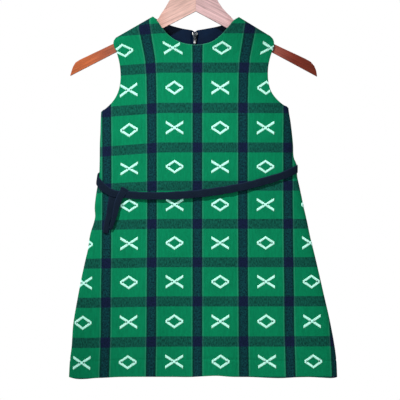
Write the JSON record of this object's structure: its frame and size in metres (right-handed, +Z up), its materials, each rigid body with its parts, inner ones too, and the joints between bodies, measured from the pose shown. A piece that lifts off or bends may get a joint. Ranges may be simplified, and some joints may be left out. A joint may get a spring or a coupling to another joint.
{
  "type": "sleeveless flared sheath dress on a wooden hanger",
  "caption": "Child's sleeveless A-line dress in green and navy woven check with a narrow navy tie belt, hanging on a flat wooden hanger with a wire hook.",
  "frame": {"origin": "inside the top of the hanger's wire hook, where it hangs on a rail", "axes": "+Z up; the front of the dress faces -Y; +X to the viewer's right as one looks at the front"},
  "size_m": [0.4672, 0.0501, 0.7626],
  "materials": {
    "wool_check": "soft matt wool",
    "navy_lining": "smooth lining",
    "belt_wool": "matt",
    "zip_metal": "bright",
    "hook_steel": "polished",
    "wood_left": "satin varnish",
    "wood_right": "satin varnish"
  },
  "bodies": {
    "dress_and_hanger": {"belt_back": "belt_wool", "belt_front": "belt_wool", "belt_knot": "belt_wool", "belt_side": "belt_wool", "belt_tail_front": "belt_wool", "belt_tail_rear": "belt_wool", "dress_back_left": "wool_check", "dress_back_right": "wool_check", "dress_front": "wool_check", "hanger_arm_left": "wood_left", "hanger_arm_right": "wood_right", "hanger_hook": "hook_steel", "neck_lining_left": "navy_lining", "neck_lining_right": "navy_lining", "zip_slider": "zip_metal", "zip_tape_left": "navy_lining", "zip_tape_right": "navy_lining"},
    "zip_pull_tab": {"zip_pull": "zip_metal"}
  },
  "joints": [
    {"name": "zip_pull_hinge", "type": "hinge", "parent": "dress_and_hanger", "child": "zip_pull_tab", "pos_m": [-0.0021, 0.00299, -0.1615], "axis": [-1, 0, 0], "range_deg": [0, 165]}
  ]
}
